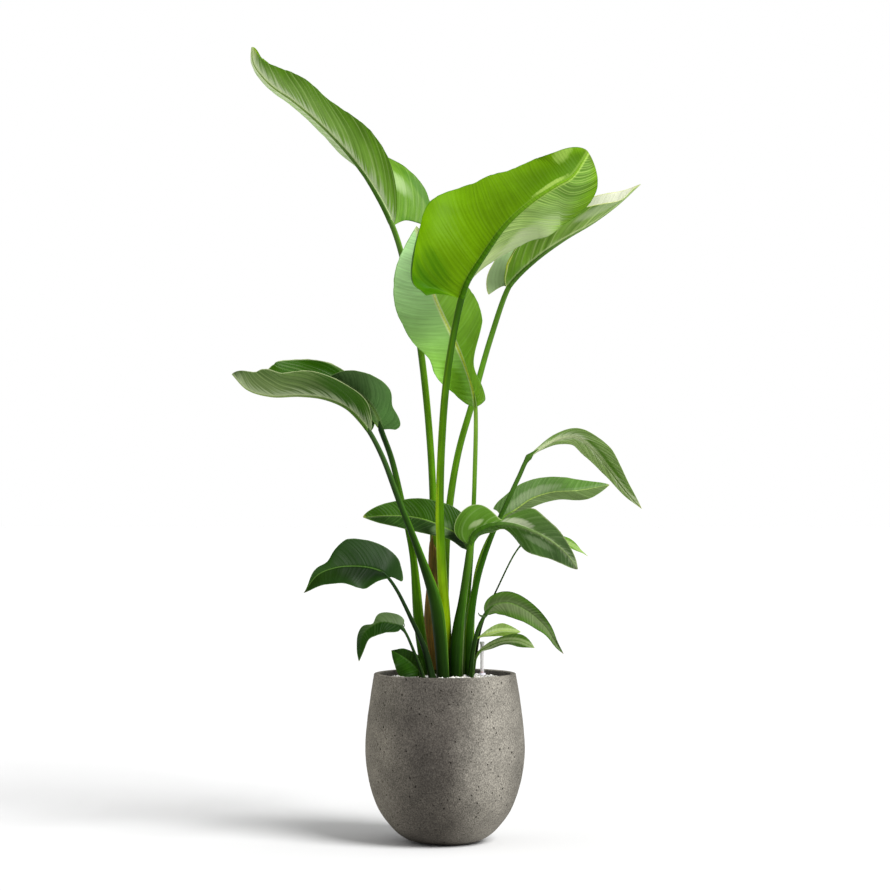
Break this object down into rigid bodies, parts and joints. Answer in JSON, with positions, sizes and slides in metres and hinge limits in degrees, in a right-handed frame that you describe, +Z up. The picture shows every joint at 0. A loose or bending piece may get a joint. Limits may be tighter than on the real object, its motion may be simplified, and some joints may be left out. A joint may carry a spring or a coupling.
{
  "type": "potted bird of paradise plant",
  "caption": "Tall large-leaved house plant with long stalks and folded, waved blades, standing in pale granules in a round concrete pot with a water gauge.",
  "frame": {"origin": "middle of the pot's flat base, on the surface it stands on", "axes": "+Z up along the pot's axis, +X to the right as the plant is seen from the front, +Y to the back"},
  "size_m": [0.8595, 0.3702, 1.6781],
  "materials": {
    "pot": "matt, fine grained concrete",
    "granules": "matt, loose mineral grains",
    "lime_leaf": "satin leaf, yellow-green",
    "pale_leaf": "satin leaf, pale green",
    "green_leaf": "satin leaf, mid green",
    "deep_leaf": "glossy leaf, deep green",
    "lime_stalk": "satin stalk, yellow-green",
    "green_stalk": "satin stalk, mid green",
    "deep_stalk": "satin stalk, deep green",
    "dry_sheath": "dry, papery, red-brown",
    "clear_tube": "clear, glossy",
    "gauge_white": "satin, white",
    "gauge_red": "satin, red"
  },
  "bodies": {
    "root": {"pot": "pot", "granules": "granules", "gauge_tube": "clear_tube", "gauge_collar": "gauge_white", "gauge_cap": "gauge_white", "gauge_float": "gauge_red", "dry_sheath": "dry_sheath", "stalk_top_left": "green_stalk", "blade_top_left": "green_leaf", "stalk_lime": "lime_stalk", "blade_lime": "lime_leaf", "stalk_upright": "green_stalk", "blade_upright": "pale_leaf", "stalk_upper_right": "green_stalk", "blade_upper_right": "green_leaf", "stalk_left": "deep_stalk", "blade_left": "deep_leaf", "stalk_left_back": "green_stalk", "blade_left_back": "deep_leaf", "stalk_middle_left": "deep_stalk", "blade_middle_left": "pale_leaf", "stalk_low_left": "deep_stalk", "blade_low_left": "green_leaf", "stalk_lowest_left": "deep_stalk", "blade_lowest_left": "green_leaf", "stalk_rim_left": "deep_stalk", "blade_rim_left": "deep_leaf", "stalk_right": "deep_stalk", "blade_right": "green_leaf", "stalk_right_back": "green_stalk", "blade_right_back": "pale_leaf", "stalk_arching_right": "green_stalk", "blade_arching_right": "pale_leaf", "stalk_low_right_back": "deep_stalk", "blade_low_right_back": "green_leaf", "stalk_low_right": "deep_stalk", "blade_low_right": "green_leaf", "stalk_small_back": "deep_stalk", "blade_small_back": "pale_leaf", "stalk_small_front": "deep_stalk", "blade_small_front": "green_leaf"}
  },
  "joints": []
}
